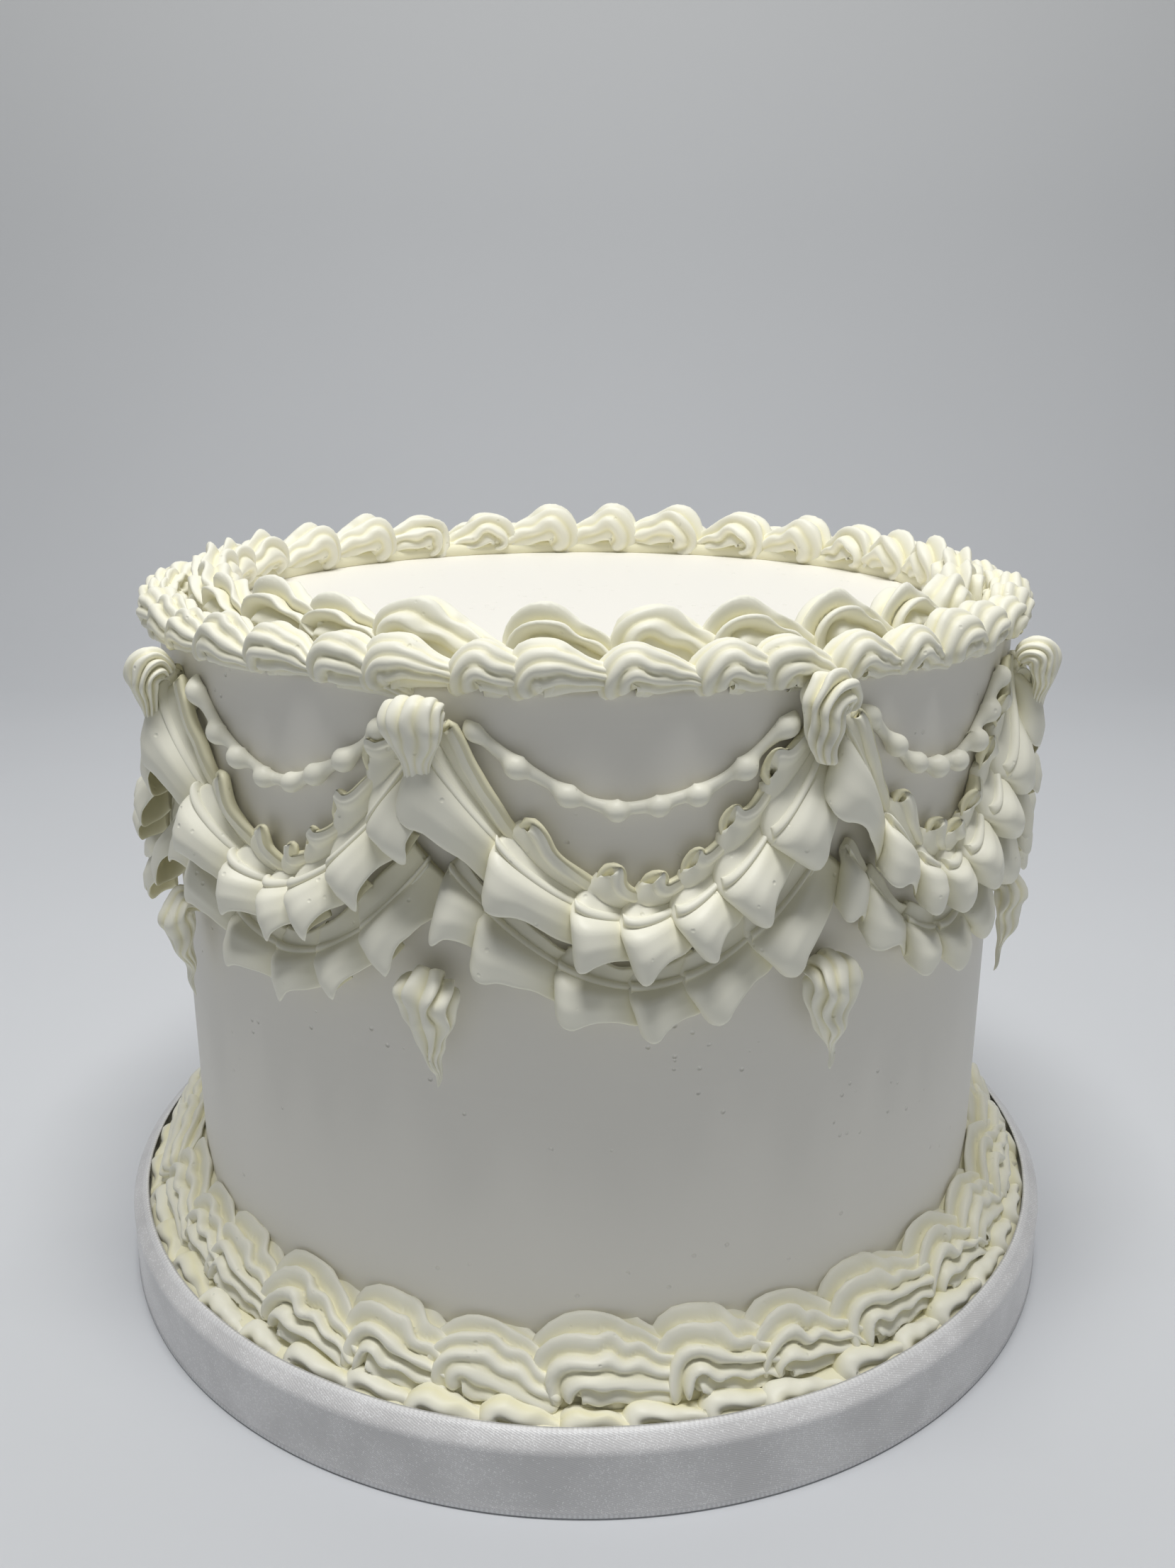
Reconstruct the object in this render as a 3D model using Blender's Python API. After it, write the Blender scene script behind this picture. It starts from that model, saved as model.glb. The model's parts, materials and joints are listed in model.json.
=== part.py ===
"""White buttercream celebration cake with piped swags, on a drum board edged with satin ribbon.

Metres, +Z up. The origin is the middle of the board's underside. The front faces -Y, and an
angle round the cake is measured from there towards +X, in degrees. "Out" is away from the
cake's axis. Every piece of piping keeps a small gap to what it was piped on.
"""

import math
import random

import bmesh
import bpy
from mathutils import Vector

MM = 0.001
GAP = 0.3 * MM
ROUND_SEGMENTS = 44

# Drum board, and the ribbon that leans in over its rounded edge
BOARD_RADIUS = 101.0 * MM
BOARD_THICKNESS = 13.0 * MM
BOARD_EDGE_ROUND = 2.2 * MM
RIBBON_RADIUS = 101.6 * MM
RIBBON_THICKNESS = 0.4 * MM
RIBBON_FOOT = 0.4 * MM
RIBBON_BEND_HEIGHT = 13.4 * MM
RIBBON_LEAN = 2.5 * MM

# Iced cake
CAKE_RADIUS = 85.3 * MM
CAKE_TOP = 138.0 * MM
CAKE_EDGE_ROUND = 1.2 * MM
CAKE_FOOT = BOARD_THICKNESS + GAP

# Shell borders: how many shells each row holds, and the foot and reach of its section
OUTER_SHELLS = 44
OUTER_INNER_EDGE = 79.6 * MM
OUTER_REACH = 88.2 * MM
OUTER_HEIGHT = 6.9 * MM
OUTER_LIP = 2.2 * MM  # how far the row hangs over the cake's rim
INNER_SHELLS = 28
INNER_ROW_RADIUS = 74.6 * MM
INNER_HALF_WIDTH = 4.3 * MM
INNER_HEIGHT = 10.9 * MM
BASE_SHELLS = 31
BASE_REACH = 6.2 * MM
BASE_HEIGHT = 17.6 * MM
RIM_CURLS = 47
RIM_ROW_RADIUS = 95.3 * MM
RIM_HALF_WIDTH = 2.9 * MM
RIM_HEIGHT = 4.6 * MM
SHELL_UNEVENNESS = 0.05
SHELL_PHASE = 0.25  # where in a shell its first section is cut, as a share of a step
RIDGE_DEPTH = 0.13
BASE_RIDGES = 4
BASE_STEPS = 4
OUTER_STEPS = 3

# Swags hang between joins. The four joins at the front stand where the cake shows them,
# and the others share the way round the back.
FRONT_JOINS = (-55.0, -16.0, 26.0, 63.0)
SWAG_COUNT = 9
SWAG_CURVE = 1.9
JOIN_HEIGHT = 127.0 * MM
UPPER_SAG = 26.0 * MM
UPPER_FOLDS = (0.0, 0.18, 0.35, 0.49, 0.61, 0.735, 0.865, 1.0)
UPPER_FLAP = 7.0 * MM
LOWER_JOIN_HEIGHT = 108.5 * MM
LOWER_SAG = 18.5 * MM
LOWER_FOLDS = (0.0, 0.13, 0.32, 0.51, 0.68, 0.84, 1.0)
LOWER_FLAP = 1.8 * MM
FRILL_LENGTH = 10.5 * MM
LOWER_FRILL_LENGTH = 9.0 * MM
FLARE_LEAST = math.radians(24)
FLARE_MOST = math.radians(48)
FRILL_EDGE = 0.9 * MM
RUFFLE_BODY = 2.2 * MM
FOLD_LEAN = 0.12
FOLD_ROUNDNESS = 0.7
RUFFLE_TAPER = 0.16  # the share of a swag over which its ruffle thins at each end
UPPER_STEPS = 4
LOWER_STEPS = 3
# Degrees between a ruffle's two ends and its joins, and how far round from its join each
# pair of frills meets. The frills at the back meet right under their joins.
UPPER_CLEARANCE = (0.9, 0.9)
LOWER_CLEARANCE = (2.8, 1.2)
FRILLS_MEET = (-1.0, -3.2, 0.4, 1.0)

# Beaded string above each swag
STRING_HEIGHT = 133.0 * MM
STRING_SAG = 13.3 * MM
STRING_END = 4.4  # degrees from the join
STRING_RADIUS = 1.0 * MM
BEAD_RADIUS = 1.8 * MM
BEADS = 8

# Fluted shell over each join, and the drop that hangs below it
JOIN_SHELL_TOP = 135.6 * MM
JOIN_SHELL_BOTTOM = 123.0 * MM
JOIN_SHELL_HALF_WIDTH = 4.6 * MM
JOIN_SHELL_REACH = 6.4 * MM
JOIN_SHELL_SEAT = 3.2 * MM
JOIN_SEAT_TOP = 131.4 * MM
DROP_TOP = 91.4 * MM
DROP_BOTTOM = 72.0 * MM
DROP_HALF_WIDTH = 4.9 * MM
DROP_REACH = 5.2 * MM
# Sections from foot to top, as shares of the height, the half-width and the reach
JOIN_SHELL_SHAPE = ((0.0, 0.5, 0.85), (0.4, 1.0, 1.0), (0.68, 1.0, 1.0), (1.0, 0.8, 0.75))
DROP_SHAPE = (
    (0.0, 0.12, 0.2), (0.3, 0.5, 0.6), (0.62, 0.95, 0.95), (0.86, 1.0, 1.0), (1.0, 0.55, 0.6),
)


def new_material(name, colour, roughness):
    """A plain Principled material."""
    material = bpy.data.materials.new(name)
    material.use_nodes = True
    shader = material.node_tree.nodes["Principled BSDF"]
    shader.inputs["Base Color"].default_value = (*colour, 1.0)
    shader.inputs["Roughness"].default_value = roughness
    shader.inputs["Metallic"].default_value = 0.0
    return material


def round_the_cake(radius, degrees, height):
    """The point at that distance from the axis, angle round the cake and height."""
    turn = math.radians(degrees)
    return Vector((radius * math.sin(turn), -radius * math.cos(turn), height))


def object_from(bm, name, material):
    """A named object from a bmesh, with its faces turned outwards."""
    bmesh.ops.recalc_face_normals(bm, faces=bm.faces)
    mesh = bpy.data.meshes.new(name)
    bm.to_mesh(mesh)
    bm.free()
    mesh.materials.append(material)
    mesh.shade_smooth()
    mesh.set_sharp_from_angle(angle=math.radians(50))
    piece = bpy.data.objects.new(name, mesh)
    bpy.context.scene.collection.objects.link(piece)
    return piece


def skinned(name, sections, material, ring=False):
    """A closed solid through a row of closed sections. A ring joins its last to its first."""
    bm = bmesh.new()
    loops = [[bm.verts.new(point) for point in section] for section in sections]
    pairs = list(zip(loops, loops[1:]))
    if ring:
        pairs.append((loops[-1], loops[0]))
    for near, far in pairs:
        for i in range(len(near)):
            j = (i + 1) % len(near)
            bm.faces.new((near[i], near[j], far[j], far[i]))
    if not ring:
        bm.faces.new(loops[0])
        bm.faces.new(list(reversed(loops[-1])))
    bmesh.ops.triangulate(bm, faces=bm.faces)
    return object_from(bm, name, material)


def turned(name, profile, material, closed):
    """A profile of (radius, height) spun round the cake's axis."""
    bm = bmesh.new()
    points = [bm.verts.new((radius, 0.0, height)) for radius, height in profile]
    edges = [bm.edges.new(pair) for pair in zip(points, points[1:])]
    if closed:
        edges.append(bm.edges.new((points[-1], points[0])))
    bmesh.ops.spin(
        bm,
        geom=points + edges,
        cent=(0, 0, 0),
        axis=(0, 0, 1),
        angle=math.tau,
        steps=ROUND_SEGMENTS,
        use_merge=True,
    )
    bmesh.ops.remove_doubles(bm, verts=bm.verts, dist=0.01 * MM)
    if not closed:
        bmesh.ops.holes_fill(bm, edges=[edge for edge in bm.edges if edge.is_boundary], sides=0)
    return object_from(bm, name, material)


def board(material):
    """A thick foil-covered drum with a rounded top edge."""
    rounded = BOARD_RADIUS - BOARD_EDGE_ROUND
    profile = (
        (BOARD_RADIUS - MM, 0.0),
        (BOARD_RADIUS, MM),
        (BOARD_RADIUS, BOARD_THICKNESS - BOARD_EDGE_ROUND),
        (rounded, BOARD_THICKNESS),
    )
    return turned("drum_board", profile, material, closed=False)


def ribbon(material):
    """A satin band round the drum, whose upper edge leans in."""
    inner = RIBBON_RADIUS - RIBBON_THICKNESS
    top = RIBBON_BEND_HEIGHT + RIBBON_LEAN
    profile = (
        (RIBBON_RADIUS, RIBBON_FOOT),
        (RIBBON_RADIUS, RIBBON_BEND_HEIGHT),
        (RIBBON_RADIUS - RIBBON_LEAN, top),
        (inner - RIBBON_LEAN, top - RIBBON_THICKNESS),
        (inner, RIBBON_BEND_HEIGHT),
        (inner, RIBBON_FOOT),
    )
    return turned("satin_ribbon", profile, material, closed=True)


def iced_cake(material):
    """The uncut cake with its smooth coat, one solid."""
    shoulder = CAKE_RADIUS - CAKE_EDGE_ROUND
    profile = (
        (CAKE_RADIUS, CAKE_FOOT),
        (CAKE_RADIUS, CAKE_TOP - CAKE_EDGE_ROUND),
        (shoulder, CAKE_TOP),
    )
    return turned("iced_cake", profile, material, closed=False)


def swell(share):
    """How full a piped shell is along its length: a round head, then a tapering tail."""
    return 0.62 + 0.38 * math.sin(math.pi * share**0.6)


def fluted_arch(points):
    """(across, up) round half a star nozzle's section, from -1 to 1, ridge and groove by turns."""
    arch = []
    for i in range(points):
        turn = math.pi * i / (points - 1)
        size = 1.0 - RIDGE_DEPTH * 2 * (i % 2)
        arch.append((-math.cos(turn) * size, math.sin(turn) * size))
    return arch


def standing_border(name, count, radius, foot, half_width, height, points, steps, seed, material):
    """A ring of piped shells that stands on a level surface."""
    draw = random.Random(seed)
    sections = []
    for shell in range(count):
        full = 1.0 + draw.uniform(-SHELL_UNEVENNESS, SHELL_UNEVENNESS)
        for step in range(steps):
            share = (step + SHELL_PHASE) / steps
            size = swell(share) * full
            degrees = (shell + share) * 360.0 / count
            sections.append(
                [
                    round_the_cake(
                        radius + across * half_width * size, degrees, foot + up * height * size
                    )
                    for across, up in fluted_arch(points)
                ]
            )
    return skinned(name, sections, material, ring=True)


def rim_border(name, count, seed, material):
    """The row of shells on the cake's rim, whose outer side hangs a little over it."""
    draw = random.Random(seed)
    foot = CAKE_TOP + GAP
    wall = CAKE_RADIUS + GAP
    steps = OUTER_STEPS
    sections = []
    for shell in range(count):
        full = 1.0 + draw.uniform(-SHELL_UNEVENNESS, SHELL_UNEVENNESS)
        for step in range(steps):
            share = (step + SHELL_PHASE) / steps
            size = swell(share) * full
            degrees = (shell + share) * 360.0 / count
            reach = wall + (OUTER_REACH - wall) * size
            rise = OUTER_HEIGHT * size
            width = reach - OUTER_INNER_EDGE
            profile = (
                (OUTER_INNER_EDGE, foot),
                (wall, foot),
                (wall, foot - OUTER_LIP),
                (reach, foot + rise * 0.15),
                (reach - width * 0.3, foot + rise),
                (reach - width * 0.8, foot + rise * 0.75),
            )
            sections.append([round_the_cake(radius, degrees, z) for radius, z in profile])
    return skinned(name, sections, material, ring=True)


def leaning_border(name, count, seed, material):
    """The large base shells, which stand on the board and lean on the cake's side."""
    draw = random.Random(seed)
    wall = CAKE_RADIUS + GAP
    foot = BOARD_THICKNESS + GAP
    sections = []
    steps = BASE_STEPS
    for shell in range(count):
        full = 1.0 + draw.uniform(-SHELL_UNEVENNESS, SHELL_UNEVENNESS)
        for step in range(steps):
            share = (step + SHELL_PHASE) / steps
            size = swell(share) * full
            degrees = (shell + share) * 360.0 / count
            section = [round_the_cake(wall, degrees, foot)]
            for i in range(BASE_RIDGES + 1):
                turn = math.pi / 2 * i / BASE_RIDGES
                bulge = size * (1.0 - RIDGE_DEPTH * (i % 2))
                out = wall + BASE_REACH * bulge * math.cos(turn) ** 0.6
                up = foot + BASE_HEIGHT * size * math.sin(turn)
                section.append(round_the_cake(out, degrees, up))
            sections.append(section)
    return skinned(name, sections, material, ring=True)


def join_angles():
    """The angle of every join round the cake, ending one turn after the first."""
    first, last = FRONT_JOINS[0], FRONT_JOINS[-1]
    hidden = SWAG_COUNT - len(FRONT_JOINS) + 1
    pitch = (first + 360.0 - last) / hidden
    return list(FRONT_JOINS) + [last + pitch * (i + 1) for i in range(hidden)]


def hang(share, height, sag):
    """The height of a swag's line between two joins."""
    return height - sag * (1.0 - abs(2.0 * share - 1.0) ** SWAG_CURVE)


def fold_points(folds, steps):
    """(share along the swag, how far the fold stands out from 0 to 1) for each section."""
    found = []
    for start, end in zip(folds, folds[1:]):
        length = end - start
        for step in range(steps):
            phase = math.tau * step / steps
            along = start + length * (phase / math.tau + FOLD_LEAN * math.cos(phase))
            found.append((min(max(along, 0.0), 1.0), ((1.0 - math.cos(phase)) / 2.0) ** FOLD_ROUNDNESS))
    found.append((1.0, 0.0))
    return found


def ease(value, low, high):
    """0 below low, 1 above high, and smooth between."""
    share = min(max((value - low) / (high - low), 0.0), 1.0)
    return share * share * (3.0 - 2.0 * share)


def ruffle(name, span, slants, folds, height, sag, flap, frill, material):
    """A piped ruffle: a ridge along the swag's line, a flap above it and a folded frill below.
    The span is its two ends in degrees, and the slants turn the frill's two ends further."""
    sections = []
    start, end = span
    back = CAKE_RADIUS + GAP
    for share, crest in folds:
        degrees = start + (end - start) * share
        slanted = degrees + slants[0] * (1.0 - share) ** 4 + slants[1] * share**4
        ridge = hang(share, height, sag)
        near_end = ease(min(share, 1.0 - share), 0.0, RUFFLE_TAPER)
        fullness = 0.4 + 0.6 * near_end
        flare = FLARE_LEAST + (FLARE_MOST - FLARE_LEAST) * crest
        out = RUFFLE_BODY + frill * math.sin(flare) * fullness
        down = ridge - frill * math.cos(flare)
        flap_out = (0.5 + 0.5 * crest) * RUFFLE_BODY * (0.5 + 0.8 * near_end)
        flap_top = ridge + flap * (0.4 + 0.6 * near_end)
        profile = (
            (0.0, degrees, ridge - RUFFLE_BODY),
            (0.0, degrees, flap_top),
            (flap_out, degrees, flap_top - flap * 0.2 * (1.0 - crest)),
            (RUFFLE_BODY, degrees, ridge),
            (out, slanted, down),
            (out - FRILL_EDGE * math.cos(flare), slanted, down - FRILL_EDGE * math.sin(flare)),
        )
        sections.append([round_the_cake(back + o, turn, z) for o, turn, z in profile])
    return skinned(name, sections, material)


def bead_string(name, left, right, material):
    """A piped thread that swells into beads, as a curve whose radius changes."""
    curve = bpy.data.curves.new(name, "CURVE")
    curve.dimensions = "3D"
    curve.bevel_depth = 1.0
    curve.bevel_resolution = 0
    curve.use_fill_caps = True
    count = 2 * BEADS - 1
    spline = curve.splines.new("POLY")
    spline.points.add(count - 1)
    start, end = left + STRING_END, right - STRING_END
    for i, point in enumerate(spline.points):
        share = i / (count - 1)
        place = round_the_cake(
            CAKE_RADIUS + GAP + BEAD_RADIUS,
            start + (end - start) * share,
            hang(share, STRING_HEIGHT, STRING_SAG),
        )
        point.co = (*place, 1.0)
        point.radius = STRING_RADIUS if i % 2 else BEAD_RADIUS
    curve.materials.append(material)
    piece = bpy.data.objects.new(name, curve)
    bpy.context.scene.collection.objects.link(piece)
    return piece


def fluted_drop(name, degrees, rows, material):
    """An upright shell of icing against the cake's side. Each row is its height, half-width,
    reach and how far its back stands off the cake."""
    sections = []
    for height, half_width, reach, seat in rows:
        back = CAKE_RADIUS + GAP + seat
        middle = round_the_cake(1.0, degrees, 0.0)
        sideways = Vector((-middle.y, middle.x, 0.0))
        section = []
        flutes = [(across, 0.15 + 0.85 * out) for across, out in fluted_arch(5)]
        for across, out in ((-0.9, 0.0), *flutes, (0.9, 0.0)):
            foot = middle * (back + (reach - seat) * out)
            section.append(foot + sideways * half_width * across + Vector((0, 0, height)))
        sections.append(section)
    return skinned(name, sections, material)


def join_shell(name, degrees, material):
    """The fluted shell that covers the ends of two swags."""
    tall = JOIN_SHELL_TOP - JOIN_SHELL_BOTTOM
    rows = []
    for share, width, reach in JOIN_SHELL_SHAPE:
        height = JOIN_SHELL_BOTTOM + tall * share
        seat = JOIN_SHELL_SEAT if height < JOIN_SEAT_TOP else 0.0
        rows.append((height, JOIN_SHELL_HALF_WIDTH * width, JOIN_SHELL_REACH * reach, seat))
    return fluted_drop(name, degrees, rows, material)


def hanging_drop(name, degrees, material):
    """The teardrop shell below a join, whose tail points down."""
    tall = DROP_TOP - DROP_BOTTOM
    rows = [
        (DROP_BOTTOM + tall * share, DROP_HALF_WIDTH * width, DROP_REACH * reach, 0.0)
        for share, width, reach in DROP_SHAPE
    ]
    return fluted_drop(name, degrees, rows, material)


def swags(material):
    """The ruffles, strings, join shells and drops, all the way round."""
    joins = join_angles()
    meets = [*FRILLS_MEET, *[0.0] * (len(joins) - 1 - len(FRILLS_MEET)), FRILLS_MEET[0]]
    upper_folds = fold_points(UPPER_FOLDS, UPPER_STEPS)
    lower_folds = fold_points(LOWER_FOLDS, LOWER_STEPS)
    for number, (left, right) in enumerate(zip(joins, joins[1:]), start=1):
        slants = (meets[number - 1], meets[number])
        ruffle(
            f"upper_ruffle_{number}",
            (left + UPPER_CLEARANCE[0], right - UPPER_CLEARANCE[1]),
            slants, upper_folds, JOIN_HEIGHT, UPPER_SAG, UPPER_FLAP, FRILL_LENGTH, material,
        )
        ruffle(
            f"lower_ruffle_{number}",
            (left + LOWER_CLEARANCE[0], right - LOWER_CLEARANCE[1]),
            slants, lower_folds, LOWER_JOIN_HEIGHT, LOWER_SAG, LOWER_FLAP, LOWER_FRILL_LENGTH,
            material,
        )
        bead_string(f"bead_string_{number}", left, right, material)
        join_shell(f"join_shell_{number}", left, material)
        hanging_drop(f"hanging_drop_{number}", left, material)


def borders(material):
    """The two shell rows on top, and the two rows on the board."""
    rim_border("top_outer_shells", OUTER_SHELLS, 11, material)
    standing_border(
        "top_inner_shells", INNER_SHELLS, INNER_ROW_RADIUS, CAKE_TOP + GAP,
        INNER_HALF_WIDTH, INNER_HEIGHT, 6, 4, 12, material,
    )
    leaning_border("base_shells", BASE_SHELLS, 13, material)
    standing_border(
        "board_rim_curls", RIM_CURLS, RIM_ROW_RADIUS, BOARD_THICKNESS + GAP,
        RIM_HALF_WIDTH, RIM_HEIGHT, 4, 3, 14, material,
    )


def main():
    for old in list(bpy.data.objects):
        bpy.data.objects.remove(old)
    icing = new_material("buttercream", (0.88, 0.86, 0.79), 0.5)
    foil = new_material("board_foil", (0.62, 0.62, 0.6), 0.4)
    satin = new_material("white_satin", (0.72, 0.72, 0.74), 0.35)
    board(foil)
    ribbon(satin)
    iced_cake(icing)
    borders(icing)
    swags(icing)


main()
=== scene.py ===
"""The looks of the white piped buttercream cake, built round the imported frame.

Lengths are millimetres until a mesh is made, and +Z is up. The cake's front faces -Y, and an
angle round the cake is measured from there towards +X, in degrees. "Out" is away from the axis.
"""

import json
import math
from dataclasses import dataclass

import bmesh
import bpy
import numpy as np
from mathutils import Matrix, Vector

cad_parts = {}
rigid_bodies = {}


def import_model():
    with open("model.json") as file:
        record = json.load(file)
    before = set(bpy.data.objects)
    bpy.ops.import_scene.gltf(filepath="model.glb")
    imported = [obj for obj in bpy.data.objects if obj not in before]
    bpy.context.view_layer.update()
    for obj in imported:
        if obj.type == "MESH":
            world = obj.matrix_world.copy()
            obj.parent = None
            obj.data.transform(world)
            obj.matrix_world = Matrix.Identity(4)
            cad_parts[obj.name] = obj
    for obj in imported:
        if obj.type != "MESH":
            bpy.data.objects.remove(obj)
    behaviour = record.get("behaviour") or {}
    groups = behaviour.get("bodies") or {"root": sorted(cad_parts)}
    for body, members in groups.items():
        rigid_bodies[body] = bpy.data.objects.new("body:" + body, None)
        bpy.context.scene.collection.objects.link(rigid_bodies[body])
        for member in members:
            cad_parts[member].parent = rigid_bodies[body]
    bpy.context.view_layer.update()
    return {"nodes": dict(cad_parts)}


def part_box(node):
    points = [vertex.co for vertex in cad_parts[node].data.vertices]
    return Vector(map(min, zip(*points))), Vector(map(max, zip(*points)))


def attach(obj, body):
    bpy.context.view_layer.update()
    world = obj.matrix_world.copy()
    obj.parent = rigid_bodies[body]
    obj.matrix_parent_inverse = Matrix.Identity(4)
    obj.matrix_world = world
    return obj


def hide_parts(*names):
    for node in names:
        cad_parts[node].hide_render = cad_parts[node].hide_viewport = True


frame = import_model()

MM = 0.001


def box_mm(node):
    """The lowest and highest corner of a CAD node, in millimetres."""
    low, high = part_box(node)
    return np.array(low) / MM, np.array(high) / MM


def turn_of(node):
    """The angle round the cake at which a CAD node stands."""
    mesh = frame["nodes"][node].data
    spots = np.array([vertex.co for vertex in mesh.vertices])
    x, y, _ = spots.mean(axis=0)
    return math.degrees(math.atan2(x, -y))


# Sizes that the frame gives
WALL = box_mm("iced_cake")[1][0]
CAKE_TOP = box_mm("iced_cake")[1][2]
BOARD_RADIUS = box_mm("drum_board")[1][0]
BOARD_TOP = box_mm("drum_board")[1][2]
RIBBON_RADIUS = box_mm("satin_ribbon")[1][0]
RIBBON_TOP = box_mm("satin_ribbon")[1][2]
SWAGS = sum(name.startswith("upper_ruffle_") for name in frame["nodes"])

# The joins' angles, once round the cake from the first join back to itself
JOINS = [turn_of(f"join_shell_{number}") % 360.0 for number in range(1, SWAGS + 1)]
JOINS = [JOINS[0] - 360.0 + (turn - JOINS[0]) % 360.0 for turn in JOINS] + [JOINS[0]]

# How far the ribbon reaches from its lower edge to its upper one, measured along the cloth
SELVEDGE = 16.2

# Spacing of each finish's pattern. Its last digits settle where each pit, glint and thread lies
ICING_GRAIN = 0.7143
PIPED_BUBBLE = 1.25
COAT_PIT = 1.4286
COAT_PIT_CLUSTER = 23.81
COAT_DRAG = (16.667, 16.667, 1.4286)
FOIL_LATTICE = 2.381
FOIL_WRINKLE = 16.667
PAPER_MOTTLE = 166.67
# The satin's glints and sheen patches are painted into its colour
SATIN_GLINT = 0.29412
SATIN_SHEEN_PATCH = 14.286
PICOT = 0.87266

# Real satin's threads are about 0.1 mm apart. They are drawn coarser, so that the weave shows
SATIN_THREAD = 0.3927

# The camera, found by fitting the cake's circles and edges to the photo
CAMERA_PLACE = (0.33, -280.7, 182.9)
CAMERA_TILT = 16.98
CAMERA_LENS = 31.02


# Colours and node trees

# The spacing of the bands that Blender's wave texture draws at a scale of 1
WAVE_AT_ONE = math.tau / 20.0


def per_metre(spacing):
    """The scale, in a world of metres, of a pattern with that spacing in millimetres."""
    return 1.0 / (spacing * MM)


def linear(code):
    """An sRGB hex colour as linear red, green, blue and alpha."""
    parts = [int(code[i : i + 2], 16) / 255 for i in (0, 2, 4)]
    return [c / 12.92 if c <= 0.04045 else ((c + 0.055) / 1.055) ** 2.4 for c in parts] + [1.0]


class Tree:
    """A node tree that is built one node at a time."""

    def __init__(self, tree):
        self.tree = tree

    def add(self, kind, inputs=(), **settings):
        """A new node. An input is a value, or the output socket that feeds it."""
        node = self.tree.nodes.new(kind)
        for key, value in settings.items():
            setattr(node, key, value)
        for key, value in dict(inputs).items():
            if isinstance(value, bpy.types.NodeSocket):
                self.tree.links.new(value, node.inputs[key])
            else:
                node.inputs[key].default_value = value
        return node

    def ramp(self, value, low, high, start=0.0, end=1.0):
        """A value taken from the span low..high to the span start..end."""
        sizes = {0: value, 1: low, 2: high, 3: start, 4: end}
        return self.add("ShaderNodeMapRange", sizes).outputs[0]

    def blend(self, share, first, second):
        """A colour between two, by share."""
        inputs = {0: share, 6: first, 7: second}
        return self.add("ShaderNodeMix", inputs, data_type="RGBA").outputs[2]


def new_material(name):
    """A material with an empty Principled shader, as (material, tree, shader)."""
    material = bpy.data.materials.new(name)
    material.use_nodes = True
    shader = material.node_tree.nodes["Principled BSDF"]
    return material, Tree(material.node_tree), shader


def icing_base(tree, shader, light, shade):
    """Soft fatty icing: very pale, with painted warm shade in its grooves, which stands in for
    light passing through and bouncing inside it. Its IOR is butter's, and its shine is low and
    broad."""
    # Painted warm shade: each point's share of it moves the colour from the icing's own towards the
    # shade colour
    groove = tree.add("ShaderNodeAttribute", attribute_name="groove").outputs["Fac"]
    colour = tree.blend(groove, linear(light), linear(shade))
    tree.tree.links.new(colour, shader.inputs["Base Color"])
    shader.inputs["Roughness"].default_value = 0.46
    shader.inputs["IOR"].default_value = 1.45
    shader.inputs["Specular IOR Level"].default_value = 0.42


def air_bubbles(tree, spots, spacing, share):
    """The depth of tiny burst bubbles, which lie in that share of a pattern's cells."""
    cells = tree.add("ShaderNodeTexVoronoi", {"Vector": spots, "Scale": per_metre(spacing)})
    rare = tree.add("ShaderNodeSeparateColor", {0: cells.outputs["Color"]}).outputs[0]
    here = tree.add("ShaderNodeMath", {0: rare, 1: share}, operation="LESS_THAN").outputs[0]
    depth = tree.ramp(cells.outputs["Distance"], 0.1, 0.34, 1.0, 0.0)
    return tree.add("ShaderNodeMath", {0: depth, 1: here}, operation="MULTIPLY").outputs[0]


def piped_buttercream():
    """Piped buttercream: smooth and satiny, with a faint grain and a few air bubbles."""
    material, tree, shader = new_material("piped_buttercream")
    # Its own colour, and the painted warm shade colour for its grooves, tucks and beds
    icing_base(tree, shader, "F8F6E6", "F4EFCB")
    spots = tree.add("ShaderNodeTexCoord").outputs["Object"]
    grain = tree.add(
        "ShaderNodeTexNoise",
        {"Vector": spots, "Scale": per_metre(ICING_GRAIN), "Detail": 3.0},
    )
    dent = air_bubbles(tree, spots, PIPED_BUBBLE, 0.03)
    soft = tree.add(
        "ShaderNodeBump",
        {"Strength": 0.12, "Distance": 0.12 * MM, "Height": grain.outputs["Fac"]},
    )
    pitted = tree.add(
        "ShaderNodeBump",
        {"Strength": 0.5, "Distance": 0.3 * MM, "Height": dent, "Normal": soft.outputs[0]},
        invert=True,
    )
    tree.tree.links.new(pitted.outputs[0], shader.inputs["Normal"])
    return material


def smooth_buttercream():
    """The scraped coat: flat and satiny, with drag marks round it and clusters of tiny pits."""
    material, tree, shader = new_material("smooth_buttercream")
    # Its own colour, and a painted warm shade colour that no point of the coat calls for
    icing_base(tree, shader, "F3F0E7", "EFE8C8")
    spots = tree.add("ShaderNodeTexCoord").outputs["Object"]
    stretch = tuple(per_metre(spacing) for spacing in COAT_DRAG)
    drag = tree.add("ShaderNodeMapping", {"Vector": spots, "Scale": stretch})
    marks = tree.add("ShaderNodeTexNoise", {"Vector": drag.outputs[0], "Scale": 1.0, "Detail": 4.0})
    crowd = tree.add(
        "ShaderNodeTexNoise",
        {"Vector": spots, "Scale": per_metre(COAT_PIT_CLUSTER), "Detail": 2.0},
    )
    many = tree.ramp(crowd.outputs["Fac"], 0.56, 0.74, 0.01, 0.2)
    dent = air_bubbles(tree, spots, COAT_PIT, many)
    dragged = tree.add(
        "ShaderNodeBump",
        {"Strength": 0.2, "Distance": 0.2 * MM, "Height": marks.outputs["Fac"]},
    )
    pitted = tree.add(
        "ShaderNodeBump",
        {"Strength": 0.6, "Distance": 0.4 * MM, "Height": dent, "Normal": dragged.outputs[0]},
        invert=True,
    )
    tree.tree.links.new(pitted.outputs[0], shader.inputs["Normal"])
    return material


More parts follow.
